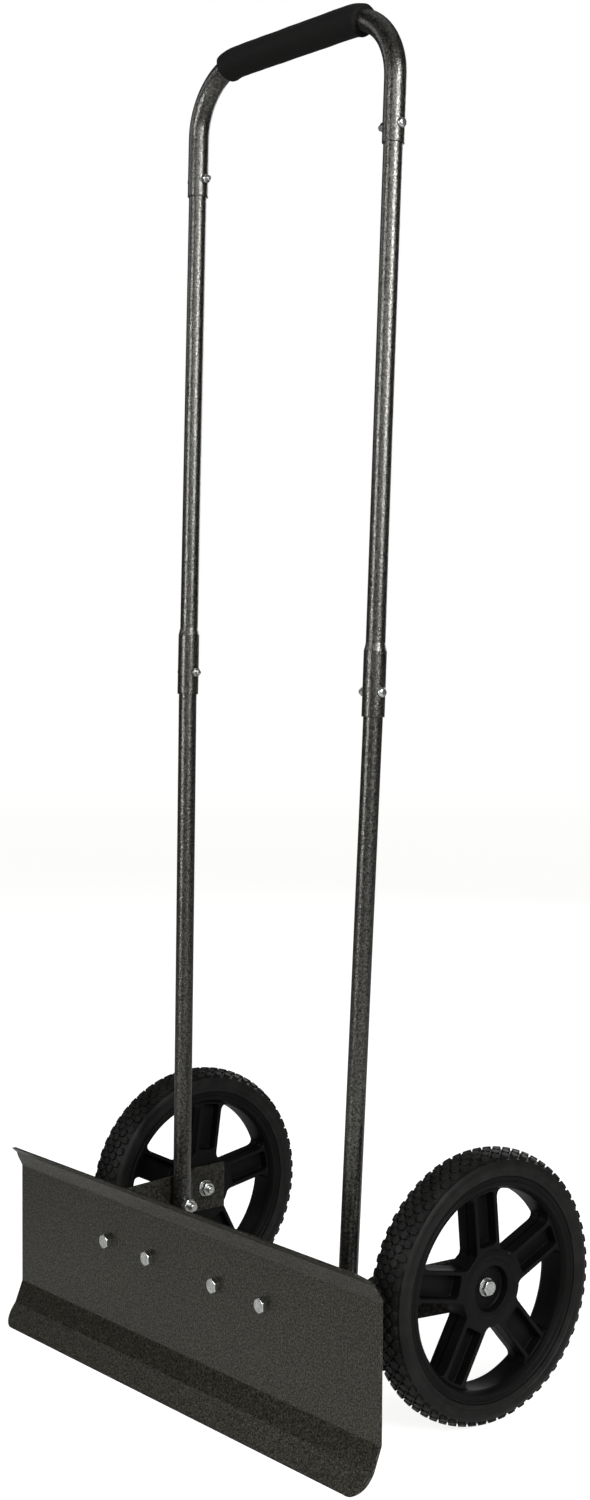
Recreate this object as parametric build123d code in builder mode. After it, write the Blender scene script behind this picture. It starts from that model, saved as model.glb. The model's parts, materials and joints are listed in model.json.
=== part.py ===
from build123d import *
import os
from math import cos, degrees, radians, sin, tan

os.makedirs("parts", exist_ok=True)

# Wheeled snow shovel, upright on the floor. X is across the blade, -Y is the way it is pushed,
# Z is up, and the origin is on the floor under the middle of the footprint.

# ---- driving dimensions, mm ----
wheel_radius = 127.0        # ten inch wheels
sides = {"left": -1, "right": 1}

# blade: one sheet, folded twice at the top and twice at the bottom
blade_width = 566.0
sheet = 2.0
web_reach = 180.0           # from the axle line forward to the front of the upright web
upper_bands = ((17.0, 27.0), (15.0, 54.0))      # width of the band, its angle from upright
lower_bands = ((23.0, 21.5), (25.7, 37.0))
web_high = 164.7            # upper end of the web
fold_radius = 3.5
top_corner_radius = 2.0
bottom_corner_radius = 16.0
blade_bolt_x = (53.0, 124.0)
blade_bolt_z = 121.0

# the scraping edge and the backs of the wheels are equally far from the origin
blade_reach = web_reach + sum(width * sin(radians(angle)) for width, angle in lower_bands)
axle_y = (blade_reach - wheel_radius) / 2
web_face_y = axle_y - web_reach

# bracket: one plate, bolted to the blade, then back past the tube and out to the wheel
plate = 3.0
bracket_low = wheel_radius - 24.0       # of the stretch beside the wheel
bracket_high = wheel_radius + 24.0
# lower edge, upper edge at the blade and upper edge behind the tube: the left side sits higher
bracket_edges = {"left": (103.0, 162.0, 168.0), "right": (80.0, 130.0, 126.0)}
bracket_corner = 6.0
bracket_inner_end = 39.0
tube_plate_x = 140.0        # inner face of the stretch beside the tube
wheel_plate_x = 203.5       # inner face of the stretch beside the wheel
bracket_tail = 26.0         # behind the axle
jog_start = -66.0           # the plate turns outward here, from the axle line
jog_end = -17.0
bend_radius = 4.0

# handle frame: lies in one plane that leans back a little
tube_od = 18.0
tube_wall = 1.4
lean = 1.63
frame_foot_y = axle_y - 88.3
foot_x = 129.4
foot_v = {"left": 107.0, "right": 87.0}
socket_id = 18.3
socket_od = 21.1
socket_straight = 60.0
socket_taper = 7.0
spigot = 58.0
socket_mouth = {"left": 661.0, "right": 647.0}
kink_drop = 6.0             # the lower tube bends slightly, this far below the socket
kink_radius = 300.0
leg_v = 1163.0
leg_x = 147.2
splay = 0.53                # of the upper tubes and the handle's legs
upper_tube_top = leg_v + 48.0
handle_od = 20.7
handle_id = 18.3
crossbar_v = 1285.5
handle_bend = 64.0
grip_reach = 104.0          # along the handle, from its middle to each end of the grip
grip_od = 30.0
grip_bore = handle_od + 0.1
grip_end_round = 2.5
joint_bolt_rise = 22.5      # above the mouth of the socket
handle_bolt_rise = 16.5     # above the lower end of the leg
base_bolt_z = {"left": (113.0, 141.0), "right": (93.0, 121.0)}

# fasteners: diameter, across flats, head height, nut height
m8 = (8.0, 13.0, 5.3, 6.5)
m5 = (5.0, 8.0, 3.5, 4.7)
hole_play = 0.4             # on the diameter of every bolt hole
seat_gap = 0.2              # between a tilted tube and the flat face of a nut or head
thread_gap = 0.02           # between a shank and its nut
crown_part = 0.475          # radius of a hexagon's flat top, as a part of the size across flats
crown_slope = tan(radians(30))
tip_chamfer = 0.8
dome_diameter = 9.5
dome_height = 3.2
dome_round = 2.9
washer_thickness = 1.6
washer_od = 17.0
blade_bolt_length = 20.0
base_bolt_length = 35.0
joint_bolt_length = 30.0
axle_bolt_length = 35.0

# wheel, measured from its own middle plane
wheel_mid = 220.0
tyre_width = 40.0
bead_radius = 99.0
rim_lip_radius = 104.0
rim_half_width = 17.0
lip_width = 3.0
window_radius = 91.5
hub_radius = 36.0
hub_recess_radius = 21.0
hub_out = 12.0
hub_in = 11.6
hub_floor = 4.0             # floor of the recess that holds the bolt head
barrel_flare = 4.0          # the barrel's bore widens by this much at both mouths
flare_depth = 5.0
spoke_count = 5
spoke_turn = {"left": 8.0, "right": 5.5}        # of the uppermost spoke, from upright
spoke_root = 5.5            # a spoke starts this far inside the hub and ends as far inside the barrel
spoke_width = 29.0
spoke_rib = 4.0
spoke_out = 12.0
spoke_in = 11.6
spoke_web = 3.0
channel_start = 4.0         # the channels of a spoke start and end this far from hub and barrel
channel_end = 2.0
bush_od = 13.0
bush_bore = 8.12
axial_play = 0.3

# tyre, its section
tread_drop = 4.5            # from the crown to the edge of the tread
tread_inset = 4.0           # the tread's edge, inside the widest place
widest_drop = 15.0          # from the crown to the widest place
wall_bow = (0.7, 4.5)       # how far the wall has curved in, this far above the widest place
bead_bow = (0.8, 4.5)       # the same below it
bead_over = 3.6             # the tyre covers the rim's lip this far


# ---- shared shapes ----
def hexagon_block(across_flats, height):
    """Hexagon with the corners turned down at its top, standing on z = 0."""
    corner_radius = across_flats / 2 / cos(radians(30))
    with BuildPart() as block:
        Cylinder(corner_radius, height, align=(Align.CENTER, Align.CENTER, Align.MIN))
        crown = corner_radius - across_flats * crown_part
        chamfer(block.faces().sort_by(Axis.Z)[-1].edges(), crown * crown_slope, crown)
        with BuildSketch():
            RegularPolygon(across_flats / 2, 6, major_radius=False)
        extrude(amount=height, mode=Mode.INTERSECT)
    return block.part


def hex_bolt(size, length):
    """Head above z = 0, shank below."""
    diameter, across_flats, head_height, _ = size
    with BuildPart() as bolt:
        add(hexagon_block(across_flats, head_height))
        with BuildSketch():
            Circle(diameter / 2)
        extrude(amount=-length)
        chamfer(bolt.faces().sort_by(Axis.Z)[0].edges(), tip_chamfer)
    return bolt.part


def dome_bolt(size, length):
    """Round head above z = 0, shank below."""
    with BuildPart() as bolt:
        with BuildSketch():
            Circle(dome_diameter / 2)
        extrude(amount=dome_height)
        fillet(bolt.faces().sort_by(Axis.Z)[-1].edges(), dome_round)
        with BuildSketch():
            Circle(size[0] / 2)
        extrude(amount=-length)
        chamfer(bolt.faces().sort_by(Axis.Z)[0].edges(), tip_chamfer)
    return bolt.part


def hex_nut(size):
    """Standing on z = 0, with a clear hole for the bolt."""
    with BuildPart() as nut:
        add(hexagon_block(size[1], size[3]))
        Hole(size[0] / 2 + thread_gap)
    return nut.part


def flat_washer(size, outer):
    """Standing on z = 0."""
    with BuildPart() as washer:
        with BuildSketch():
            Circle(outer / 2)
            Circle((size[0] + hole_play) / 2, mode=Mode.SUBTRACT)
        extrude(amount=washer_thickness)
    return washer.part


def save(part, name):
    part.label = name
    export_step(part, f"parts/{name}.step")


# ---- places on the handle frame ----
rise = cos(radians(lean))
run = sin(radians(lean))
frame_plane = Plane((0, frame_foot_y, 0), x_dir=(1, 0, 0), z_dir=(0, -rise, run))
splay_slope = tan(radians(splay))


def in_space(x, v):
    """Point of the handle frame: x across, v along its leaning plane."""
    return Vector(x, frame_foot_y + v * run, v * rise)


def upper_x(v):
    """Axis of the upper tube and the handle's leg at v."""
    return leg_x + (v - leg_v) * splay_slope


def lower_x(v, name):
    """Axis of the lower tube at v, below its slight bend."""
    foot = foot_v[name]
    kink = socket_mouth[name] - kink_drop
    return foot_x + (upper_x(kink) - foot_x) * (v - foot) / (kink - foot)


def base_bolt_places(name):
    """Where the bolts through the foot of a tube lie, as (y, z)."""
    return [(frame_foot_y + z * run / rise, z) for z in base_bolt_z[name]]


def cross_plane(side, point, outward):
    """Plane at a point, facing away from the centre plane, or towards it."""
    return Plane(point, x_dir=(0, 1, 0), z_dir=(side * outward, 0, 0))


# ---- blade ----
def banded(start, bands, way):
    """Points of the folded edge, from the web outward; way is up or down."""
    points = [start]
    for width, angle in bands:
        y, z = points[-1]
        points.append((y - width * sin(radians(angle)), z + way * width * cos(radians(angle))))
    return points


web_low = sum(width * cos(radians(angle)) for width, angle in lower_bands)
lower_points = banded((web_face_y, web_low), lower_bands, -1)
upper_points = banded((web_face_y, web_high), upper_bands, 1)
last_y, last_z = lower_points[-1]
edge_angle = radians(lower_bands[-1][1])
below_floor = (last_y - sheet * sin(edge_angle), last_z - sheet * cos(edge_angle))
blade_top = upper_points[-1][1]

with BuildPart() as snow_blade:
    with BuildSketch(Plane.YZ):
        with BuildLine():
            outline = [below_floor] + lower_points[:-1][::-1] + upper_points
            FilletPolyline(*outline, radius=fold_radius)
            offset(amount=sheet, side=Side.RIGHT)
        make_face()
    extrude(amount=blade_width / 2, both=True)
    with BuildSketch(Plane.XZ) as front_view:
        with Locations((0, blade_top)):
            Rectangle(blade_width, blade_top, align=(Align.CENTER, Align.MAX))
        fillet(front_view.vertices().group_by(Axis.Z)[0], bottom_corner_radius)
        fillet(front_view.vertices().group_by(Axis.Z)[-1], top_corner_radius)
    extrude(amount=blade_reach * 2, both=True, mode=Mode.INTERSECT)
    with BuildSketch(Plane.XZ.offset(-web_face_y)):
        for x in blade_bolt_x:
            with Locations((-x, blade_bolt_z), (x, blade_bolt_z)):
                Circle((m8[0] + hole_play) / 2)
    extrude(amount=sheet * 2, both=True, mode=Mode.SUBTRACT)
save(snow_blade.part, "snow_blade")

# ---- brackets ----
flange_y = web_face_y + sheet
plate_back_y = flange_y + plate
tail_y = axle_y + bracket_tail
for name, side in sides.items():
    low, shoulder, peak = bracket_edges[name]
    with BuildPart() as bracket:
        with BuildSketch(Plane.XY.offset(low)):
            with BuildLine():
                route = (
                    (side * bracket_inner_end, flange_y),
                    (side * (tube_plate_x + plate), flange_y),
                    (side * (tube_plate_x + plate), axle_y + jog_start),
                    (side * (wheel_plate_x + plate), axle_y + jog_end),
                    (side * (wheel_plate_x + plate), axle_y + bracket_tail),
                )
                FilletPolyline(*route, radius=bend_radius)
                offset(amount=plate, side=Side.LEFT if side > 0 else Side.RIGHT)
            make_face()
        extrude(amount=max(peak, bracket_high) - low)
        with BuildSketch(Plane.YZ) as side_view:
            with BuildLine():
                Polyline(
                    (flange_y - plate, low),
                    (flange_y - plate, shoulder),
                    (axle_y + jog_start - plate, peak),
                    (axle_y + jog_end, bracket_high),
                    (tail_y, bracket_high),
                    (tail_y, bracket_low),
                    (axle_y + jog_end, bracket_low),
                    (axle_y + jog_start - plate, low),
                    close=True,
                )
            make_face()
            fillet(side_view.vertices().group_by(Axis.Y)[-1], bracket_corner)
        extrude(amount=wheel_mid, both=True, mode=Mode.INTERSECT)
        with BuildSketch(Plane.XZ.offset(-flange_y)):
            with Locations(*[(side * x, blade_bolt_z) for x in blade_bolt_x]):
                Circle((m8[0] + hole_play) / 2)
        extrude(amount=plate * 2, both=True, mode=Mode.SUBTRACT)
        with BuildSketch(Plane.YZ.offset(side * (tube_plate_x + plate / 2))):
            with Locations(*base_bolt_places(name)):
                Circle((m8[0] + hole_play) / 2)
        extrude(amount=plate * 2, both=True, mode=Mode.SUBTRACT)
        with BuildSketch(Plane.YZ.offset(side * (wheel_plate_x + plate / 2))):
            with Locations((axle_y, wheel_radius)):
                Circle((m8[0] + hole_play) / 2)
        extrude(amount=plate * 2, both=True, mode=Mode.SUBTRACT)
        upright = bracket.edges().filter_by(Axis.Y).group_by(SortBy.LENGTH)[0]
        inner = upright.group_by(Axis.X)[0 if side > 0 else -1]
        fillet(inner, bracket_corner)
    save(bracket.part, f"bracket_{name}")

# ---- blade fasteners ----
with BuildPart() as blade_bolts:
    for x in (*blade_bolt_x, *(-x for x in blade_bolt_x)):
        with Locations(Plane((x, web_face_y, blade_bolt_z), x_dir=(0, 0, 1), z_dir=(0, -1, 0))):
            add(hex_bolt(m8, blade_bolt_length))
save(blade_bolts.part, "blade_bolts")

with BuildPart() as blade_washers:
    for x in (*blade_bolt_x, *(-x for x in blade_bolt_x)):
        with Locations(Plane((x, plate_back_y, blade_bolt_z), x_dir=(1, 0, 0), z_dir=(0, 1, 0))):
            add(flat_washer(m8, washer_od))
save(blade_washers.part, "blade_washers")

with BuildPart() as blade_nuts:
    for x in (*blade_bolt_x, *(-x for x in blade_bolt_x)):
        seat = (x, plate_back_y + washer_thickness, blade_bolt_z)
        with Locations(Plane(seat, x_dir=(1, 0, 0), z_dir=(0, 1, 0))):
            add(hex_nut(m8))
save(blade_nuts.part, "blade_nuts")

# ---- handle frame ----
for name, side in sides.items():
    mouth = socket_mouth[name]
    kink = mouth - kink_drop
    with BuildPart() as lower_tube:
        with BuildLine(frame_plane) as route:
            FilletPolyline(
                (side * foot_x, foot_v[name]),
                (side * upper_x(kink), kink),
                (side * upper_x(mouth + spigot), mouth + spigot),
                radius=kink_radius,
            )
        with BuildSketch(Plane(route.line @ 0, z_dir=route.line % 0)):
            Circle(tube_od / 2)
            Circle(tube_od / 2 - tube_wall, mode=Mode.SUBTRACT)
        sweep(path=route.line)
        with BuildSketch(Plane.YZ.offset(side * foot_x)):
            with Locations(*base_bolt_places(name)):
                Circle((m8[0] + hole_play) / 2)
        extrude(amount=tube_od, both=True, mode=Mode.SUBTRACT)
        bolt_at = in_space(side * upper_x(mouth + joint_bolt_rise), mouth + joint_bolt_rise)
        with BuildSketch(cross_plane(side, bolt_at, 1)):
            Circle((m5[0] + hole_play) / 2)
        extrude(amount=tube_od, both=True, mode=Mode.SUBTRACT)
    save(lower_tube.part, f"lower_tube_{name}")

    start = in_space(side * upper_x(mouth), mouth)
    finish = in_space(side * upper_x(upper_tube_top), upper_tube_top)
    along = (finish - start).normalized()
    length = (finish - start).length
    tube_plane = Plane(start, x_dir=(0, -rise, run), z_dir=along)
    with BuildPart() as upper_tube:
        with BuildSketch(Plane(start, x_dir=tube_plane.x_dir, z_dir=-tube_plane.y_dir)):
            with BuildLine():
                neck = socket_straight + socket_taper
                inner = tube_od / 2 - tube_wall
                Polyline(
                    (socket_id / 2, 0),
                    (socket_od / 2, 0),
                    (socket_od / 2, socket_straight),
                    (tube_od / 2, neck),
                    (tube_od / 2, length),
                    (inner, length),
                    (inner, neck),
                    (socket_id / 2, socket_straight),
                    close=True,
                )
            make_face()
        revolve(axis=Axis(start, along))
        with BuildSketch(cross_plane(side, bolt_at, 1)):
            Circle((m5[0] + hole_play) / 2)
        extrude(amount=tube_od, both=True, mode=Mode.SUBTRACT)
        leg_bolt = in_space(side * upper_x(leg_v + handle_bolt_rise), leg_v + handle_bolt_rise)
        with BuildSketch(cross_plane(side, leg_bolt, 1)):
            Circle((m5[0] + hole_play) / 2)
        extrude(amount=tube_od, both=True, mode=Mode.SUBTRACT)
    save(upper_tube.part, f"upper_tube_{name}")

corner_x = upper_x(crossbar_v)
with BuildPart() as handle_bar:
    with BuildLine(frame_plane) as route:
        FilletPolyline(
            (-leg_x, leg_v),
            (-corner_x, crossbar_v),
            (corner_x, crossbar_v),
            (leg_x, leg_v),
            radius=handle_bend,
        )
    with BuildSketch(Plane(route.line @ 0, z_dir=route.line % 0)):
        Circle(handle_od / 2)
        Circle(handle_id / 2, mode=Mode.SUBTRACT)
    sweep(path=route.line)
    for side in sides.values():
        leg_bolt = in_space(side * upper_x(leg_v + handle_bolt_rise), leg_v + handle_bolt_rise)
        with BuildSketch(cross_plane(side, leg_bolt, 1)):
            Circle((m5[0] + hole_play) / 2)
        extrude(amount=handle_od, both=True, mode=Mode.SUBTRACT)
save(handle_bar.part, "handle_bar")

# the grip covers the straight crossbar and the first degrees of both bends
straight_half = corner_x - handle_bend / tan(radians((90 - splay) / 2))
wrap = degrees((grip_reach - straight_half) / handle_bend)
with BuildPart() as foam_grip:
    with BuildLine(frame_plane) as route:
        bend_v = crossbar_v - handle_bend
        CenterArc((-straight_half, bend_v), handle_bend, 90 + wrap, -wrap)
        Line((-straight_half, crossbar_v), (straight_half, crossbar_v))
        CenterArc((straight_half, bend_v), handle_bend, 90, -wrap)
    with BuildSketch(Plane(route.wire() @ 0, z_dir=route.wire() % 0)):
        Circle(grip_od / 2)
        Circle(grip_bore / 2, mode=Mode.SUBTRACT)
    sweep(path=route.wire())
    for end in foam_grip.faces().filter_by(GeomType.PLANE):
        fillet(end.outer_wire().edges(), grip_end_round)
save(foam_grip.part, "foam_grip")


# ---- handle fasteners ----
def across(half_width, v, x_of, name):
    """Seats of a bolt's head and its nut on the two sides of a tube."""
    side = sides[name]
    centre = in_space(side * x_of(v), v)
    head = centre + Vector(side * (half_width + seat_gap), 0, 0)
    nut = centre - Vector(side * (half_width + seat_gap), 0, 0)
    return cross_plane(side, head, 1), cross_plane(side, nut, -1)


joint_seats = [
    across(socket_od / 2, socket_mouth[name] + joint_bolt_rise, upper_x, name) for name in sides
]
handle_seats = [across(handle_od / 2, leg_v + handle_bolt_rise, upper_x, name) for name in sides]
for label, seats in (("joint", joint_seats), ("handle", handle_seats)):
    with BuildPart() as bolts:
        for head, _ in seats:
            with Locations(head):
                add(dome_bolt(m5, joint_bolt_length))
    save(bolts.part, f"{label}_bolts")
    with BuildPart() as nuts:
        for _, nut in seats:
            with Locations(nut):
                add(hex_nut(m5))
    save(nuts.part, f"{label}_nuts")

with BuildPart() as base_bolts:
    for name, side in sides.items():
        for y, z in base_bolt_places(name):
            seat = (side * (tube_plate_x + plate), y, z)
            with Locations(cross_plane(side, seat, 1)):
                add(hex_bolt(m8, base_bolt_length))
save(base_bolts.part, "base_bolts")

with BuildPart() as base_nuts:
    for name, side in sides.items():
        for y, z in base_bolt_places(name):
            inner_x = lower_x(z / rise, name) - tube_od / 2 - seat_gap
            seat = (side * inner_x, y, z)
            with Locations(cross_plane(side, seat, -1)):
                add(hex_nut(m8))
save(base_nuts.part, "base_nuts")

# ---- axles ----
inner_washer_x = wheel_plate_x + plate
hub_floor_x = wheel_mid + hub_floor
outer_washer_x = hub_floor_x + axial_play
head_x = outer_washer_x + washer_thickness
nut_washer_x = wheel_plate_x
for name, side in sides.items():
    with BuildPart() as axle_bolt:
        with Locations(cross_plane(side, (side * head_x, axle_y, wheel_radius), 1)):
            add(hex_bolt(m8, axle_bolt_length))
    save(axle_bolt.part, f"axle_bolt_{name}")
    with BuildPart() as axle_washers:
        for x, outward in ((inner_washer_x, 1), (outer_washer_x, 1), (nut_washer_x, -1)):
            with Locations(cross_plane(side, (side * x, axle_y, wheel_radius), outward)):
                add(flat_washer(m8, washer_od))
    save(axle_washers.part, f"axle_washers_{name}")
    with BuildPart() as axle_nut:
        seat = (side * (nut_washer_x - washer_thickness), axle_y, wheel_radius)
        with Locations(cross_plane(side, seat, -1)):
            add(hex_nut(m8))
    save(axle_nut.part, f"axle_nut_{name}")

# ---- wheels ----
spoke_mid = (hub_radius + window_radius) / 2
spoke_length = window_radius - hub_radius
seat_half = rim_half_width - lip_width
shoulder_x = tyre_width / 2 - tread_inset
shoulder_r = wheel_radius - tread_drop
side_x = tyre_width / 2
side_r = wheel_radius - widest_drop
lip_x = seat_half + bead_over
mouth_radius = window_radius + barrel_flare
channel_length = spoke_length - channel_start - channel_end
channel_mid = spoke_mid + (channel_start - channel_end) / 2
axle_axis = Axis((0, axle_y, wheel_radius), (1, 0, 0))

for name, side in sides.items():
    centre = (side * wheel_mid, axle_y, wheel_radius)
    mid_plane = Plane(centre, x_dir=(0, side, 0), z_dir=(side, 0, 0))
    section = Plane(centre, x_dir=(side, 0, 0), z_dir=(0, -side, 0))
    first_spoke = 90 + spoke_turn[name]

    with BuildPart() as rim:
        # barrel with its two raised lips
        with BuildSketch(section):
            with BuildLine():
                Polyline(
                    (-rim_half_width, mouth_radius),
                    (-rim_half_width, rim_lip_radius),
                    (-seat_half, rim_lip_radius),
                    (-seat_half, bead_radius),
                    (seat_half, bead_radius),
                    (seat_half, rim_lip_radius),
                    (rim_half_width, rim_lip_radius),
                    (rim_half_width, mouth_radius),
                    (rim_half_width - flare_depth, window_radius),
                    (flare_depth - rim_half_width, window_radius),
                    close=True,
                )
            make_face()
        revolve(axis=axle_axis)
        # hub boss
        with BuildSketch(mid_plane.offset(-hub_in)):
            Circle(hub_radius)
        extrude(amount=hub_in + hub_out)
        # spokes, one of them nearly upright
        with BuildSketch(mid_plane.offset(-spoke_in)):
            with PolarLocations(spoke_mid, spoke_count, start_angle=first_spoke):
                Rectangle(spoke_length + 2 * spoke_root, spoke_width)
        extrude(amount=spoke_in + spoke_out)
        # a channel in the outer and the inner face of each spoke
        for outward, depth in ((1, spoke_out), (-1, spoke_in)):
            with BuildSketch(mid_plane.offset(outward * spoke_web / 2)):
                with PolarLocations(channel_mid, spoke_count, start_angle=first_spoke):
                    Rectangle(channel_length, spoke_width - 2 * spoke_rib)
            extrude(amount=outward * depth, mode=Mode.SUBTRACT)
        # recess for the bolt head, and the bore for the bush
        with BuildSketch(mid_plane.offset(hub_floor)):
            Circle(hub_recess_radius)
        extrude(amount=hub_out, mode=Mode.SUBTRACT)
        with BuildSketch(mid_plane):
            Circle(bush_od / 2)
        extrude(amount=wheel_radius, both=True, mode=Mode.SUBTRACT)
    save(rim.part, f"wheel_rim_{name}")

    with BuildPart() as hub_bush:
        with BuildSketch(mid_plane.offset(-hub_in)):
            Circle(bush_od / 2)
            Circle(bush_bore / 2, mode=Mode.SUBTRACT)
        extrude(amount=hub_in + hub_floor)
    save(hub_bush.part, f"hub_bush_{name}")

    with BuildPart() as tyre:
        with BuildSketch(section):
            with BuildLine():
                ThreePointArc(
                    (-shoulder_x, shoulder_r), (0, wheel_radius), (shoulder_x, shoulder_r)
                )
                for way in (1, -1):
                    ThreePointArc(
                        (way * shoulder_x, shoulder_r),
                        (way * (side_x - wall_bow[0]), side_r + wall_bow[1]),
                        (way * side_x, side_r),
                    )
                    ThreePointArc(
                        (way * side_x, side_r),
                        (way * (side_x - bead_bow[0]), side_r - bead_bow[1]),
                        (way * lip_x, rim_lip_radius),
                    )
                    Line((way * lip_x, rim_lip_radius), (way * seat_half, rim_lip_radius))
                    Line((way * seat_half, rim_lip_radius), (way * seat_half, bead_radius))
                Line((-seat_half, bead_radius), (seat_half, bead_radius))
            make_face()
        revolve(axis=axle_axis)
    save(tyre.part, f"tyre_{name}")
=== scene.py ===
import json
import math
import bpy
from mathutils import Matrix, Vector


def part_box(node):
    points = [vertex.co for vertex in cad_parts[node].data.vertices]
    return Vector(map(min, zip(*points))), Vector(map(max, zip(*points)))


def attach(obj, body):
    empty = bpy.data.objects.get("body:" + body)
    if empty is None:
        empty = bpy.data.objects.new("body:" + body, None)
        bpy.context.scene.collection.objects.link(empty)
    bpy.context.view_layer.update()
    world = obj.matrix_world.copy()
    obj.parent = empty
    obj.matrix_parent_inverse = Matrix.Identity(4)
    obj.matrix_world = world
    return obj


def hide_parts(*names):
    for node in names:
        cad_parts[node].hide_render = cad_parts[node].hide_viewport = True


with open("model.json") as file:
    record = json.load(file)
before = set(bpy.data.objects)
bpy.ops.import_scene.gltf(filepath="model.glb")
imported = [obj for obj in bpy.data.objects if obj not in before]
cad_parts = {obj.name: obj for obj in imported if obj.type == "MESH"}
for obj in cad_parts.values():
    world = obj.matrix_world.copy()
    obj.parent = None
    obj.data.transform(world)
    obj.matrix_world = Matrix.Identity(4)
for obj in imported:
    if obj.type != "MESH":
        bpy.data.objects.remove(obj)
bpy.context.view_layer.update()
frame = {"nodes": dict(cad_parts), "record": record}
nodes = frame["nodes"]
MM = 0.001
SIDES = {"left": -1, "right": 1}


def centre(node):
    low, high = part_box(node)
    return (low + high) / 2


def size(node):
    low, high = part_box(node)
    return high - low


WHEEL_RADIUS = size("tyre_left").z / 2
AXLE_Y = centre("tyre_left").y


# ---- shader helpers ----
def add(tree, kind, values=(), **settings):
    """A shader node with its settings and its inputs; an input given as a socket is linked."""
    made = tree.nodes.new("ShaderNode" + kind)
    for name, value in settings.items():
        setattr(made, name, value)
    for name, value in dict(values).items():
        if isinstance(value, bpy.types.NodeSocket):
            tree.links.new(value, made.inputs[name])
        else:
            made.inputs[name].default_value = value
    return made


def new_material(name, **constants):
    """A Principled material, with its constant inputs set on the shader's own sockets."""
    material = bpy.data.materials.new(name)
    material.use_nodes = True
    shader = material.node_tree.nodes["Principled BSDF"]
    for socket, value in constants.items():
        shader.inputs[socket.replace("_", " ")].default_value = value
    place = add(material.node_tree, "TexCoord").outputs["Object"]
    return material, material.node_tree, shader, place


def ramp(tree, factor, *stops):
    """Colour ramp from (position, colour) stops; a colour may be one grey value."""
    made = add(tree, "ValToRGB", {"Fac": factor})
    elements = made.color_ramp.elements
    while len(elements) < len(stops):
        elements.new(0.5)
    for element, (position, colour) in zip(elements, stops):
        element.position = position
        element.color = (*colour, 1) if isinstance(colour, tuple) else (colour, colour, colour, 1)
    return made.outputs["Color"]


def noise(tree, place, per_metre, detail=2.0, roughness=0.5):
    """Noise from 0 to 1, with about per_metre bumps in a metre."""
    inputs = {"Vector": place, "Scale": per_metre, "Detail": detail, "Roughness": roughness}
    return add(tree, "TexNoise", inputs).outputs["Fac"]


def span(tree, factor, low, high, start=0.0, finish=1.0):
    """Maps a factor from start..finish to low..high."""
    source = {"Value": factor, "From Min": start, "From Max": finish}
    return add(tree, "MapRange", {**source, "To Min": low, "To Max": high}).outputs["Result"]


def bump(tree, height, strength, distance, normal=None):
    """Normal of a bump whose height is a factor, laid over another normal."""
    inputs = {"Height": height, "Strength": strength, "Distance": distance}
    if normal is not None:
        inputs["Normal"] = normal
    return add(tree, "Bump", inputs).outputs["Normal"]


# places of the colour sockets on a Mix node
MIX_FACTOR, MIX_FIRST, MIX_SECOND, MIX_RESULT = 0, 6, 7, 2


def mix(tree, factor, first, second, blend="MIX"):
    """Mix of two colours; each of the three values is a socket or a constant."""
    values = {MIX_FACTOR: factor}
    for place, colour in ((MIX_FIRST, first), (MIX_SECOND, second)):
        values[place] = colour if isinstance(colour, bpy.types.NodeSocket) else (*colour, 1)
    made = add(tree, "Mix", values, data_type="RGBA", blend_type=blend)
    return made.outputs[MIX_RESULT]


def product(tree, first, second):
    """Two colours or factors multiplied."""
    return mix(tree, 1.0, first, second, "MULTIPLY")


def shaded(tree, shader, **inputs):
    """Links sockets to the shader's inputs of the same names."""
    for name, value in inputs.items():
        tree.links.new(value, shader.inputs[name.replace("_", " ")])


def edges(tree, radius):
    """A normal softened along sharp edges, and a factor that is 1 on those edges."""
    soft = add(tree, "Bevel", {"Radius": radius}, samples=6).outputs["Normal"]
    flat = add(tree, "NewGeometry").outputs["Normal"]
    facing = add(tree, "VectorMath", {0: soft, 1: flat}, operation="DOT_PRODUCT").outputs["Value"]
    return soft, ramp(tree, facing, (0.90, 1.0), (0.985, 0.0))


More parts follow.
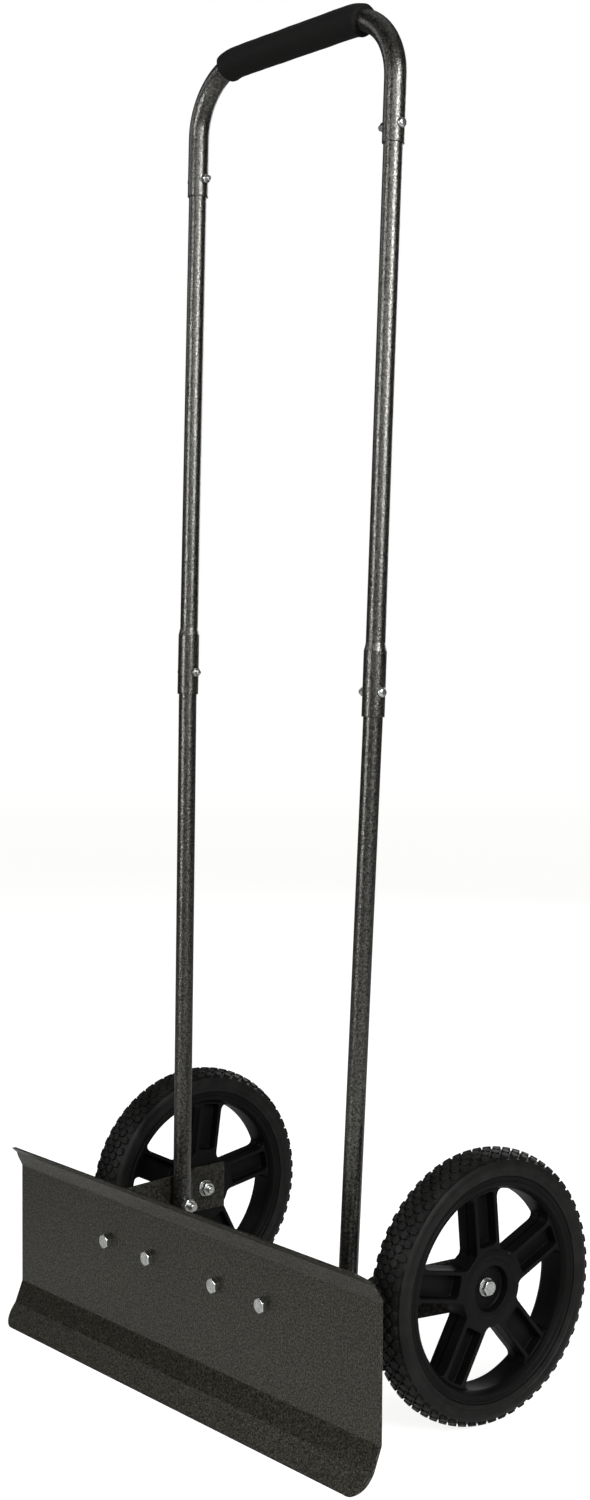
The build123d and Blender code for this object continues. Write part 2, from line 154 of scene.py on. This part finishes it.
# ---- materials ----
def hammered_paint(name, tones, edge_highlight, grain, relief, rough, metallic, patch, specular, tint):
    """Hammer-finish enamel: pale flecks, cells with dark seams, a large mottle, a painted highlight
    along the edges.

    tones are the deep, the body and the fleck colour, and the next argument is the colour of the
    painted highlight along an edge.
    grain is the size of a cell, relief is the bumps' depth as a part of it, and patch is the
    number of the mottle's clouds in a metre. The rest are the shader's own values.
    """
    deep, body, fleck = tones
    constants = {"Specular_Tint": (*tint, 1.0), "Metallic": metallic}
    material, tree, shader, place = new_material(name, **constants)
    wobble = add(tree, "TexNoise", {"Vector": place, "Scale": 0.8 / grain, "Detail": 1.0})
    drift = {0: wobble.outputs["Color"], 1: (grain * 1.2,) * 3}
    shift = add(tree, "VectorMath", drift, operation="MULTIPLY").outputs[0]
    bent = add(tree, "VectorMath", {0: place, 1: shift}, operation="ADD").outputs[0]
    cells = add(tree, "TexVoronoi", {"Vector": bent, "Scale": 1 / grain}).outputs["Distance"]
    coarse = noise(tree, place, 0.8 / grain, 3.0, 0.7)
    fine = noise(tree, place, 2.2 / grain, 3.0, 0.65)
    grains = ramp(tree, coarse, (0.40, deep), (0.50, body), (0.61, fleck))
    seams = ramp(tree, cells, (0.0, 1.22), (0.45, 1.0), (0.8, 0.6))
    colour = product(tree, grains, seams)
    clouds = ramp(tree, noise(tree, place, patch, 3.0), (0.35, 0.86), (0.65, 1.14))
    broad = noise(tree, place, 0.22 / grain, 2.0)
    hue = ramp(tree, broad, (0.35, (1.05, 0.99, 0.9)), (0.65, (0.94, 1.0, 1.0)))
    colour = product(tree, product(tree, colour, clouds), hue)
    soft, edge = edges(tree, 0.0012)
    # painted highlight along the edges, broken up by a fine noise
    highlight_breakup = ramp(tree, noise(tree, place, 160.0, 4.0, 0.7), (0.50, 0.0), (0.66, 1.0))
    worn_patches_and_edge_highlight = product(tree, edge, highlight_breakup)
    cell_normal = bump(tree, cells, 0.5, grain * relief, soft)
    shaded(
        tree,
        shader,
        Base_Color=mix(tree, worn_patches_and_edge_highlight, colour, edge_highlight),
        Specular_IOR_Level=ramp(tree, coarse, (0.38, 0.5 * specular), (0.62, 1.5 * specular)),
        Roughness=span(tree, fine, rough - 0.09, rough + 0.12),
        Normal=bump(tree, coarse, 0.35, grain * relief, cell_normal),
    )
    return material


def zinc_plate():
    """Zinc plate with a cloudy passivation, and a painted highlight along its edges."""
    material, tree, shader, place = new_material("zinc", Metallic=1.0)
    cloudy = noise(tree, place, 420.0, 3.0)
    fine = noise(tree, place, 2600.0, 2.0)
    soft, edge = edges(tree, 0.0006)
    plate = ramp(tree, cloudy, (0.3, (0.30, 0.31, 0.30)), (0.7, (0.54, 0.55, 0.54)))
    shaded(
        tree,
        shader,
        # painted highlight: a paler colour along the edges
        Base_Color=mix(tree, edge, plate, (0.86, 0.86, 0.85)),
        Roughness=span(tree, fine, 0.22, 0.42),
        Normal=bump(tree, fine, 0.25, 0.00008, soft),
    )
    return material


def moulded_plastic(name, dark, light, rough, grain):
    """Injection-moulded plastic: a fine even grain, soft flow marks and a painted highlight along
    its edges.
    """
    material, tree, shader, place = new_material(name, Specular_IOR_Level=0.07)
    flow_marks_and_highlight_breakup = noise(tree, place, 28.0, 3.0)
    fine = noise(tree, place, grain, 2.0)
    soft, edge = edges(tree, 0.0009)
    # painted highlight along the edges, in patches, paler than the resin
    highlit_edges = product(tree, edge, ramp(tree, flow_marks_and_highlight_breakup, (0.45, 0.15), (0.65, 0.6)))
    resin = ramp(tree, flow_marks_and_highlight_breakup, (0.3, dark), (0.7, light))
    highlight_tone = tuple(3.2 * channel for channel in light)
    shaded(
        tree,
        shader,
        Base_Color=mix(tree, highlit_edges, resin, highlight_tone),
        Roughness=span(tree, fine, rough - 0.07, rough + 0.1),
        Normal=bump(tree, fine, 0.3, 0.00012, soft),
    )
    return material


def tyre_rubber():
    """Black rubber of uneven tone, with a greyer painted highlight along the edges of the tread's
    blocks.
    """
    material, tree, shader, place = new_material("tyre_rubber", Specular_IOR_Level=0.12)
    dust_and_highlight_noise = noise(tree, place, 60.0, 4.0)
    fine = noise(tree, place, 1500.0, 3.0)
    soft, edge = edges(tree, 0.0007)
    rubber = ramp(tree, dust_and_highlight_noise, (0.35, (0.0034, 0.0034, 0.0032)), (0.75, (0.0085, 0.0083, 0.0078)))
    # painted highlight: greyer along the blocks' edges, in patches
    tread_edge_highlight = product(tree, edge, ramp(tree, dust_and_highlight_noise, (0.4, 0.1), (0.7, 0.7)))
    shaded(
        tree,
        shader,
        Base_Color=mix(tree, tread_edge_highlight, rubber, (0.024, 0.0233, 0.022)),
        Roughness=span(tree, fine, 0.42, 0.62),
        Normal=bump(tree, fine, 0.3, 0.00015, soft),
    )
    return material


def grip_foam():
    """Closed-cell foam: soft pores and a dull skin, a little shinier in patches."""
    material, tree, shader, place = new_material(
        "grip_foam", Specular_IOR_Level=0.12, Sheen_Weight=0.01, Sheen_Roughness=0.5
    )
    pores = add(tree, "TexVoronoi", {"Vector": place, "Scale": 1300.0}).outputs["Distance"]
    fine = noise(tree, place, 900.0, 4.0, 0.6)
    worn_patches_and_edge_highlight = noise(tree, place, 35.0, 3.0)
    colour = ramp(tree, fine, (0.3, (0.0020, 0.0019, 0.0018)), (0.7, (0.0047, 0.0045, 0.0042)))
    shaded(
        tree,
        shader,
        Base_Color=product(tree, colour, ramp(tree, worn_patches_and_edge_highlight, (0.3, 0.85), (0.7, 1.2))),
        Roughness=span(tree, worn_patches_and_edge_highlight, 0.62, 0.86),
        Normal=bump(tree, fine, 0.5, 0.0003, bump(tree, pores, 0.4, 0.0002)),
    )
    return material


MATERIALS = {
    "blade_paint": hammered_paint(
        "blade_paint",
        tones=((0.0008, 0.0007, 0.0004), (0.0036, 0.0033, 0.0022), (0.027, 0.0252, 0.0176)),
        # colour of the painted highlight along the edges
        edge_highlight=(0.12, 0.115, 0.10),
        grain=1.4 * MM,
        relief=0.14,
        rough=0.33,
        metallic=0.06,
        patch=9.0,
        specular=0.38,
        tint=(1.0, 0.96, 0.84),
    ),
    "bracket_paint": hammered_paint(
        "bracket_paint",
        tones=((0.0042, 0.0040, 0.0031), (0.0088, 0.0084, 0.0069), (0.018, 0.0174, 0.0145)),
        # colour of the painted highlight along the edges
        edge_highlight=(0.10, 0.095, 0.085),
        grain=2.1 * MM,
        relief=0.07,
        rough=0.48,
        metallic=0.08,
        patch=14.0,
        specular=0.28,
        tint=(1.0, 0.97, 0.87),
    ),
    "tube_paint": hammered_paint(
        "tube_paint",
        tones=((0.0006, 0.0006, 0.0005), (0.0036, 0.0035, 0.0030), (0.021, 0.0203, 0.0178)),
        # colour of the painted highlight along the edges
        edge_highlight=(0.12, 0.115, 0.105),
        grain=1.6 * MM,
        relief=0.17,
        rough=0.28,
        metallic=0.05,
        patch=16.0,
        specular=0.85,
        tint=(1.0, 0.98, 0.92),
    ),
    "zinc": zinc_plate(),
    "rim_plastic": moulded_plastic(
        "rim_plastic",
        dark=(0.0018, 0.0018, 0.0017),
        light=(0.0033, 0.0033, 0.0032),
        rough=0.46,
        grain=1900.0,
    ),
    "bush_plastic": moulded_plastic(
        "bush_plastic",
        dark=(0.52, 0.51, 0.46),
        light=(0.62, 0.61, 0.56),
        rough=0.40,
        grain=1500.0,
    ),
    "tyre_rubber": tyre_rubber(),
    "grip_foam": grip_foam(),
}
for part in frame["record"]["subparts"]:
    node = nodes[part["node"]]
    for slot in node.material_slots:
        slot.material = MATERIALS[part["material_slot"]]


# ---- mesh helpers ----
def new_piece(name, verts, faces, slot, sharp_angle):
    """Object from a mesh, smooth except along edges sharper than the angle, in degrees."""
    mesh = bpy.data.meshes.new(name)
    mesh.from_pydata([tuple(v) for v in verts], [], faces)
    mesh.validate()
    mesh.shade_smooth()
    mesh.set_sharp_from_angle(angle=math.radians(sharp_angle))
    piece = bpy.data.objects.new(name, mesh)
    bpy.context.scene.collection.objects.link(piece)
    piece.data.materials.append(MATERIALS[slot])
    return piece


def ring_faces(rings, columns):
    """Quads between successive rings of vertices, and between the last ring and the first."""
    faces = []
    for ring in range(rings):
        low = ring * columns
        high = (ring + 1) % rings * columns
        for column in range(columns):
            after = (column + 1) % columns
            faces.append((low + column, low + after, high + after, high + column))
    return faces


# ---- tyres ----
BLOCKS = 60                 # around the tyre
ROWS = 6
CROWN_RADIUS = 30.7 * MM    # of the tread's section
ROW_PITCH = 6.2 * MM
BLOCK_HALF = 2.55 * MM      # half a block across the tread, at its top
WALL = 0.35 * MM            # how far a block's wall leans out
BLOCK_HEIGHT = 2.6 * MM
STAGGER = 0.5               # how far every second row is turned, in blocks
BEAD_DEPTH = 5.0 * MM       # how far the tyre's seat lies inside the rim's lip
LIP_WIDTH = 3.0 * MM
# where a block's walls and middle lie round the tyre, as parts of the pitch, and which are raised
WAIST = (0.0, 0.15, 0.20, 0.5, 0.80, 0.85)
ENDS = (0.0, 0.27, 0.32, 0.5, 0.68, 0.73)
RAISED = (0, 0, 1, 1, 1, 0)


def tread_profile():
    """Points of the tread's section, from one shoulder to the other.

    Each one is its angle round the crown, whether it can lie on a block's top, the row's turn
    round the tyre in blocks, and the places of the block's walls.
    """
    points = []
    for row in range(ROWS):
        middle = (row - (ROWS - 1) / 2) * ROW_PITCH
        turn = STAGGER * (row % 2)
        steps = (
            (-BLOCK_HALF - WALL, False, ENDS),
            (-BLOCK_HALF, True, ENDS),
            (0.0, True, WAIST),
            (BLOCK_HALF, True, ENDS),
            (BLOCK_HALF + WALL, False, ENDS),
        )
        for offset, on_top, places in steps:
            points.append(((middle + offset) / CROWN_RADIUS, on_top, turn, places))
    return points


def tyre_mesh(name, side):
    """Tyre with raised tread blocks and a stepped side wall, on the seat of its rim."""
    low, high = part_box(f"tyre_{name}")
    middle = (low + high) / 2
    half = (high.x - low.x) / 2
    rim_low, rim_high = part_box(f"wheel_rim_{name}")
    lip = (rim_high.z - rim_low.z) / 2
    bead = lip - BEAD_DEPTH
    seat = (rim_high.x - rim_low.x) / 2 - LIP_WIDTH
    groove = CROWN_RADIUS - BLOCK_HEIGHT
    tread = []
    for angle, on_top, turn, places in tread_profile():
        section = []
        for raised in RAISED:
            radius = CROWN_RADIUS if raised and on_top else groove
            r = WHEEL_RADIUS - CROWN_RADIUS + radius * math.cos(angle)
            section.append((radius * math.sin(angle), r))
        tread.append((section, turn, places))
    even = tuple(step / len(RAISED) for step in range(len(RAISED)))
    side_wall = (
        (half - 2.0 * MM, WHEEL_RADIUS - 8.2 * MM),
        (half - 0.9 * MM, WHEEL_RADIUS - 10.2 * MM),
        (half - 0.2 * MM, WHEEL_RADIUS - 12.2 * MM),
        (half, WHEEL_RADIUS - 14.0 * MM),
        (half - 0.1 * MM, WHEEL_RADIUS - 15.8 * MM),
        (half - 0.6 * MM, WHEEL_RADIUS - 17.2 * MM),
        (half - 0.7 * MM, lip + 4.6 * MM),
        (half - 1.5 * MM, lip + 3.8 * MM),
        (half - 1.7 * MM, lip + 2.4 * MM),
        (half - 2.4 * MM, lip + 0.9 * MM),
        (seat + 3.4 * MM, lip + 0.1 * MM),
        (seat, lip + 0.1 * MM),
        (seat, bead + 0.1 * MM),
    )
    outer = [([(x, r)] * len(RAISED), STAGGER / 2, even) for x, r in side_wall]
    inner = [([(-x, r)] * len(RAISED), STAGGER / 2, even) for x, r in reversed(side_wall)]
    rings = tread + outer + inner
    verts = []
    for section, turn, places in rings:
        for block in range(BLOCKS):
            for (x, r), place in zip(section, places):
                angle = math.tau * (block + place + turn) / BLOCKS
                verts.append(middle + Vector((side * x, r * math.sin(angle), r * math.cos(angle))))
    faces = ring_faces(len(rings), BLOCKS * len(RAISED))
    if side > 0:
        faces = [tuple(reversed(face)) for face in faces]
    tyre = new_piece(f"treaded_tyre_{name}", verts, faces, "tyre_rubber", sharp_angle=25.0)
    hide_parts(f"tyre_{name}")
    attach(tyre, f"wheel_{name}")


for name, side in SIDES.items():
    tyre_mesh(name, side)


# ---- wheel rims ----
LATHE_STEPS = 120
SPOKES = 5
SPOKE_TURN = {"left": 8.0, "right": 5.5}    # degrees of the uppermost spoke from upright
HUB_RADIUS = 36.0 * MM
WINDOW_RADIUS = 91.5 * MM
SUNK = 0.7 * MM             # how far the windows' arcs are cut into the barrel and the hub
SPOKE_HALF = 14.5 * MM
SPOKE_FACES = (-11.6 * MM, 12.0 * MM)
SPOKE_FLOOR = (-1.5 * MM, 1.5 * MM)
CHANNEL_ENDS = (40.0 * MM, 89.3 * MM)           # from the axle
CHANNEL_HALF = 10.5 * MM
OUTER_CUT = 9.0 * MM        # where the windows' corners begin, along a spoke, at the barrel
INNER_CUT = 5.0 * MM        # and at the hub
CHANNEL_CUT = 3.5 * MM      # the same for the channels' corners
PLATE_LAP = 3.0 * MM        # how far the spokes' plates reach into the barrel
PLATE_BORE = 24.0 * MM
# sections of the barrel and the hub: mm along the axle, mm from it
BARREL = (
    (-17.0, 96.0), (-16.6, 95.0), (-12.4, 91.9), (-11.2, 91.5), (11.2, 91.5), (12.4, 91.9),
    (16.6, 95.0), (17.0, 96.0), (17.0, 98.6), (16.3, 99.4), (16.3, 100.6), (17.0, 101.3),
    (17.0, 103.2), (16.6, 103.8), (15.9, 104.0), (14.8, 104.0), (14.2, 103.7), (14.0, 103.1),
    (14.0, 99.0), (-14.0, 99.0), (-14.0, 103.1), (-14.2, 103.7), (-14.8, 104.0), (-15.9, 104.0),
    (-16.6, 103.8), (-17.0, 103.2), (-17.0, 101.3), (-16.3, 100.6), (-16.3, 99.4), (-17.0, 98.6),
)
HUB = (
    (-12.0, 6.55), (-12.0, 34.8), (-11.6, 35.7), (-10.8, 36.0), (11.3, 36.0), (12.1, 35.7),
    (12.5, 34.9), (12.5, 29.8), (11.9, 29.1), (11.9, 27.4), (12.5, 26.7), (12.5, 22.2),
    (12.2, 21.4), (11.4, 21.0), (5.0, 20.6), (4.2, 19.8), (4.0, 18.8), (4.0, 6.55),
)


def turned(name, section, place_of, slot):
    """Solid of revolution from a closed section of (along the axle, radius) points, in mm."""
    verts = []
    for along, radius in section:
        for step in range(LATHE_STEPS):
            angle = math.tau * step / LATHE_STEPS
            u = radius * MM * math.cos(angle)
            v = radius * MM * math.sin(angle)
            verts.append(place_of(u, v, along * MM))
    faces = ring_faces(len(section), LATHE_STEPS)
    return new_piece(name, verts, faces, slot, sharp_angle=28.0)


def arc(radius, start, finish, steps):
    """Points of an arc about the axle, from one angle to another."""
    angles = [start + (finish - start) * k / steps for k in range(steps + 1)]
    return [Vector((radius * math.cos(angle), radius * math.sin(angle))) for angle in angles]


def corner(before, point, after, steps=7):
    """Points that round a corner off, from one point before it to one after it."""
    rounded = []
    for k in range(1, steps):
        t = k / steps
        rounded.append(before * (1 - t) ** 2 + point * 2 * t * (1 - t) + after * t ** 2)
    return rounded


def window_outline(middle):
    """Rim window between two spokes; middle is its direction from the axle."""
    swing = math.pi / SPOKES
    inner_turn = math.asin(SPOKE_HALF / HUB_RADIUS)
    outer_turn = math.asin(SPOKE_HALF / WINDOW_RADIUS)
    ends = []
    for way in (-1, 1):
        spoke = middle + way * swing
        along = Vector((math.cos(spoke), math.sin(spoke)))
        flank = Vector((-math.sin(spoke), math.cos(spoke))) * -way * SPOKE_HALF
        inner = flank + along * HUB_RADIUS * math.cos(inner_turn)
        outer = flank + along * WINDOW_RADIUS * math.cos(outer_turn)
        ends.append((inner, outer, along))
    (low_in, low_out, low_way), (high_in, high_out, high_way) = ends
    rim_arc = arc(
        WINDOW_RADIUS + SUNK,
        middle - swing + outer_turn + OUTER_CUT / WINDOW_RADIUS,
        middle + swing - outer_turn - OUTER_CUT / WINDOW_RADIUS,
        steps=16,
    )
    hub_arc = arc(
        HUB_RADIUS - SUNK,
        middle + swing - inner_turn - INNER_CUT / HUB_RADIUS,
        middle - swing + inner_turn + INNER_CUT / HUB_RADIUS,
        steps=4,
    )
    points = [low_in + low_way * INNER_CUT, low_out - low_way * OUTER_CUT]
    points += corner(points[-1], low_out, rim_arc[0]) + rim_arc
    turn_in = high_out - high_way * OUTER_CUT
    points += corner(rim_arc[-1], high_out, turn_in) + [turn_in, high_in + high_way * INNER_CUT]
    points += corner(points[-1], high_in, hub_arc[0]) + hub_arc
    points += corner(hub_arc[-1], low_in, points[0])
    return points


def channel_outline(spoke):
    """Channel in the face of a spoke that points in this direction."""
    start, finish = CHANNEL_ENDS
    along = Vector((math.cos(spoke), math.sin(spoke)))
    flank = Vector((-along.y, along.x)) * CHANNEL_HALF
    corners = [
        along * start - flank,
        along * finish - flank,
        along * finish + flank,
        along * start + flank,
    ]
    points = []
    for index, here in enumerate(corners):
        neighbours = (corners[index - 1], corners[(index + 1) % len(corners)])
        before, after = [here + (other - here).normalized() * CHANNEL_CUT for other in neighbours]
        points += [before] + corner(before, here, after, steps=5) + [after]
    return points


def cut_plate(name, outlines, faces, edge, place_of, slot):
    """Flat plate with the outlines cut out of its first one, between two faces, edges rounded."""
    curve = bpy.data.curves.new(name, "CURVE")
    curve.dimensions = "2D"
    curve.fill_mode = "BOTH"
    curve.extrude = (faces[1] - faces[0]) / 2 - edge
    curve.bevel_depth = edge
    curve.bevel_resolution = 2
    curve.offset = -edge
    for outline in outlines:
        spline = curve.splines.new("POLY")
        spline.points.add(len(outline) - 1)
        for point, place in zip(spline.points, outline):
            point.co = (place.x, place.y, 0, 1)
        spline.use_cyclic_u = True
    holder = bpy.data.objects.new(name + "_outline", curve)
    bpy.context.scene.collection.objects.link(holder)
    bpy.context.view_layer.update()
    filled = holder.evaluated_get(bpy.context.evaluated_depsgraph_get())
    flat = bpy.data.meshes.new_from_object(filled)
    middle = (faces[0] + faces[1]) / 2
    verts = [place_of(v.co.x, v.co.y, v.co.z + middle) for v in flat.vertices]
    polygons = [tuple(polygon.vertices) for polygon in flat.polygons]
    bpy.data.objects.remove(holder)
    bpy.data.curves.remove(curve)
    bpy.data.meshes.remove(flat)
    return new_piece(name, verts, polygons, slot, sharp_angle=40.0)


def wheel_rim(name, side):
    """Barrel, hub and five ribbed spokes with a channel on both faces."""
    middle = centre(f"wheel_rim_{name}")

    def place_of(u, v, along):
        return middle + Vector((side * along, side * u, v))

    first = math.pi / 2 + math.radians(SPOKE_TURN[name])
    spokes = [first + math.tau * k / SPOKES for k in range(SPOKES)]
    rim_circle = arc(WINDOW_RADIUS + PLATE_LAP, 0.0, math.tau, LATHE_STEPS)[:-1]
    bore = arc(PLATE_BORE, 0.0, math.tau, 48)[:-1]
    windows = [window_outline(spoke + math.pi / SPOKES) for spoke in spokes]
    channels = [channel_outline(spoke) for spoke in spokes]
    pieces = [
        turned(f"rim_{name}", BARREL, place_of, "rim_plastic"),
        turned(f"rim_hub_{name}", HUB, place_of, "rim_plastic"),
        cut_plate(
            f"rim_ribs_{name}",
            outlines=[rim_circle, bore] + windows + channels,
            faces=SPOKE_FACES,
            edge=0.7 * MM,
            place_of=place_of,
            slot="rim_plastic",
        ),
        cut_plate(
            f"rim_web_{name}",
            outlines=[rim_circle, bore] + windows,
            faces=SPOKE_FLOOR,
            edge=0.4 * MM,
            place_of=place_of,
            slot="rim_plastic",
        ),
    ]
    with bpy.context.temp_override(
        active_object=pieces[0], object=pieces[0], selected_editable_objects=pieces
    ):
        bpy.ops.object.join()
    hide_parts(f"wheel_rim_{name}")
    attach(pieces[0], f"wheel_{name}")


for name, side in SIDES.items():
    wheel_rim(name, side)


# ---- foam grip ----
LEAN = math.radians(1.63)   # of the handle's legs, backwards
BAR_RADIUS = 10.35 * MM
HANDLE_BEND = 64.0 * MM     # of the bar's middle line
GRIP_RADIUS = 15.0 * MM
GRIP_BORE = 10.4 * MM
GRIP_ROUND = 2.6 * MM       # at the sleeve's ends
GRIP_SKIN = 0.2 * MM        # how far the skin lies inside the radius, to leave room for its swells
GRIP_SWELL = 0.16 * MM
SWELLS_AROUND = 9
SWELL_TWIST = 40.0          # radians for each metre along the bar
SWELL_WAVE = 150.0          # the same, for the waves along the bar
SWELL_START = 1.3
GRIP_STATIONS = 96
GRIP_SIDES = 48
BORE_STATIONS = 40
END_STEPS = 6


def foam_sleeve():
    """Sleeve along the crossbar and the first part of both bends, with soft rounded ends."""
    low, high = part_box("foam_grip")
    bar_low, bar_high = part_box("handle_bar")
    reach = bar_high.x - BAR_RADIUS
    up = Vector((0, math.sin(LEAN), math.cos(LEAN)))
    depth = up.cross(Vector((1, 0, 0)))
    crown = Vector((0, (low.y + high.y) / 2, high.z - GRIP_RADIUS))
    straight = reach - HANDLE_BEND - 1.0 * MM
    wrap = math.asin(min(1.0, (high.x - straight) / (HANDLE_BEND + GRIP_RADIUS)))
    total = straight + HANDLE_BEND * wrap

    def station(s):
        """Centre of the sleeve and the direction across it, s along the bar from its middle."""
        if abs(s) <= straight:
            return crown + Vector((s, 0, 0)), up
        turn = math.copysign((abs(s) - straight) / HANDLE_BEND, s)
        over = Vector((math.copysign(straight, s), 0, 0)) + crown - up * HANDLE_BEND
        across = up * math.cos(turn) + Vector((math.sin(turn), 0, 0))
        return over + across * HANDLE_BEND, across

    end = []
    for step in range(END_STEPS + 1):
        turn = math.pi / 2 * step / END_STEPS
        sunk = GRIP_ROUND * (1 - math.sin(turn))
        along = GRIP_ROUND * (1 - math.cos(turn))
        end.append((along - total, GRIP_RADIUS - sunk))
    skin = []
    for step in range(1, GRIP_STATIONS):
        s = -total + GRIP_ROUND + (2 * total - 2 * GRIP_ROUND) * step / GRIP_STATIONS
        skin.append((s, GRIP_RADIUS))
    far_end = [(-s, r) for s, r in reversed(end)]
    outline = [(-total, GRIP_BORE)] + end + skin + far_end + [(total, GRIP_BORE)]
    bore = []
    for step in range(1, BORE_STATIONS):
        bore.append((total * (1 - 2 * step / BORE_STATIONS), GRIP_BORE))
    verts = []
    for index, (s, radius) in enumerate(outline + bore):
        middle, across = station(s)
        for column in range(GRIP_SIDES):
            angle = math.tau * column / GRIP_SIDES
            swell = 0.0
            if radius > GRIP_BORE + GRIP_ROUND:
                round_wave = math.sin(SWELLS_AROUND * angle + SWELL_TWIST * s)
                swell = GRIP_SWELL * round_wave * math.sin(SWELL_WAVE * s + SWELL_START)
            skin_radius = radius - GRIP_SKIN + swell if radius > GRIP_BORE else radius
            direction = across * math.cos(angle) + depth * math.sin(angle)
            verts.append(middle + direction * skin_radius)
    faces = ring_faces(len(outline) + len(bore), GRIP_SIDES)
    grip = new_piece("foam_sleeve", verts, faces, "grip_foam", sharp_angle=60.0)
    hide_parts("foam_grip")
    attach(grip, "frame")


foam_sleeve()


# ---- stage ----
FLOOR_RADIUS = 14.0
FLOOR_SIDES = 96
SEEN_GLOW = (0.86, 1.0)     # what the camera sees of the floor's own light, near and far
SEEN_REACH = (1.5, 9.0)     # distances from the middle between which it rises
THROWN_GLOW = (0.49, 0.04)  # the light it throws up on the object, near THROWN_FROM and far from it
THROWN_REACH = (0.5, 1.8)
THROWN_FROM = (0.6, -0.5, 0.0)


def floor_material():
    """Pale paper floor, white at its far edge, which throws light up on the side of THROWN_FROM."""
    material, tree, shader, place = new_material(
        "pale_floor", Roughness=0.9, Specular_IOR_Level=0.0, Emission_Color=(1, 1, 0.99, 1)
    )
    faint = noise(tree, place, 2.0, 2.0)
    away = add(tree, "VectorMath", {0: place}, operation="LENGTH").outputs["Value"]
    offset = {0: place, 1: THROWN_FROM}
    near = add(tree, "VectorMath", offset, operation="DISTANCE").outputs["Value"]
    looked_at = span(tree, away, *SEEN_GLOW, *SEEN_REACH)
    thrown = span(tree, near, *THROWN_GLOW, *THROWN_REACH)
    seen = add(tree, "LightPath").outputs["Is Camera Ray"]
    shaded(
        tree,
        shader,
        Base_Color=ramp(tree, faint, (0.3, (0.40, 0.40, 0.395)), (0.7, (0.42, 0.42, 0.415))),
        Emission_Strength=span(tree, seen, thrown, looked_at),
    )
    return material


floor_mesh = bpy.data.meshes.new("floor")
floor_points = []
for step in range(FLOOR_SIDES):
    angle = math.tau * step / FLOOR_SIDES
    floor_points.append((FLOOR_RADIUS * math.cos(angle), FLOOR_RADIUS * math.sin(angle), 0.0))
floor_mesh.from_pydata(floor_points, [], [tuple(range(FLOOR_SIDES))])
floor_object = bpy.data.objects.new("floor", floor_mesh)
floor_object.data.materials.append(floor_material())
bpy.context.scene.collection.objects.link(floor_object)

# ---- camera ----
# x and y are from the axle's middle, z is above the floor
CAMERA_FROM_AXLE = Vector((1.52516, -1.29379, 0.71453))
YAW, PITCH, ROLL = 0.8846, 0.0533, 0.0057
SENSOR = 36.0
LENS = 48.70776
forward = Vector((
    -math.sin(YAW) * math.cos(PITCH),
    math.cos(YAW) * math.cos(PITCH),
    -math.sin(PITCH),
))
level = Vector((math.cos(YAW), math.sin(YAW), 0))
upward = level.cross(forward)
right_axis = level * math.cos(ROLL) + upward * math.sin(ROLL)
up_axis = upward * math.cos(ROLL) - level * math.sin(ROLL)
camera_data = bpy.data.cameras.new("camera")
camera_data.lens = LENS
camera_data.sensor_width = SENSOR
camera_data.clip_start = 0.05
camera_data.clip_end = 100.0
camera = bpy.data.objects.new("camera", camera_data)
turn = Matrix((right_axis, up_axis, -forward)).transposed().to_4x4()
camera.matrix_world = Matrix.Translation(CAMERA_FROM_AXLE + Vector((0, AXLE_Y, 0))) @ turn
bpy.context.scene.collection.objects.link(camera)
bpy.context.scene.camera = camera


# ---- lights ----
def softbox(name, place, target, width, height, watts):
    """Rectangular lamp that faces its target and isn't seen by the camera."""
    light = bpy.data.lights.new(name, "AREA")
    light.shape = "RECTANGLE"
    light.size = width
    light.size_y = height
    light.energy = watts
    lamp = bpy.data.objects.new(name, light)
    lamp.location = place
    lamp.rotation_euler = (Vector(target) - Vector(place)).to_track_quat("-Z", "Y").to_euler()
    lamp.visible_camera = False
    bpy.context.scene.collection.objects.link(lamp)


# name, place, target, width, height (all in metres), watts
LIGHTS = (
    ("front_box", (-0.3, -2.6, 1.15), (0, 0, 1.0), 0.44, 1.5, 42),
    ("side_box", (2.75, -0.25, 1.78), (0, 0, 1.1), 1.0, 1.4, 112),
    ("near_box", (2.2, -1.9, 1.85), (0, 0, 1.1), 2.4, 1.1, 34),
    ("left_box", (-2.4, -1.6, 1.85), (0, 0, 0.1), 1.2, 1.0, 7),
    ("back_box", (-1.2, 2.9, 1.5), (0, 0, 0.5), 1.6, 1.4, 26),
    ("top_box", (0.0, 0.3, 3.4), (0, 0, 0), 2.2, 2.2, 5),
)
for light in LIGHTS:
    softbox(*light)

# the camera sees a white backdrop; the object gets only a faint ambient light
BACKDROP = 1.0
AMBIENT = 0.05
world = bpy.data.worlds.new("studio")
world.use_nodes = True
tree = world.node_tree
ambient = tree.nodes["Background"]
ambient.inputs["Color"].default_value = (1, 1, 1, 1)
ambient.inputs["Strength"].default_value = AMBIENT
backdrop = add(tree, "Background", {"Color": (1, 1, 1, 1), "Strength": BACKDROP})
seen = add(tree, "LightPath").outputs["Is Camera Ray"]
shown = add(tree, "MixShader", {0: seen, 1: ambient.outputs[0], 2: backdrop.outputs[0]})
tree.links.new(shown.outputs[0], tree.nodes["World Output"].inputs["Surface"])
bpy.context.scene.world = world
bpy.context.scene.view_settings.view_transform = "Standard"
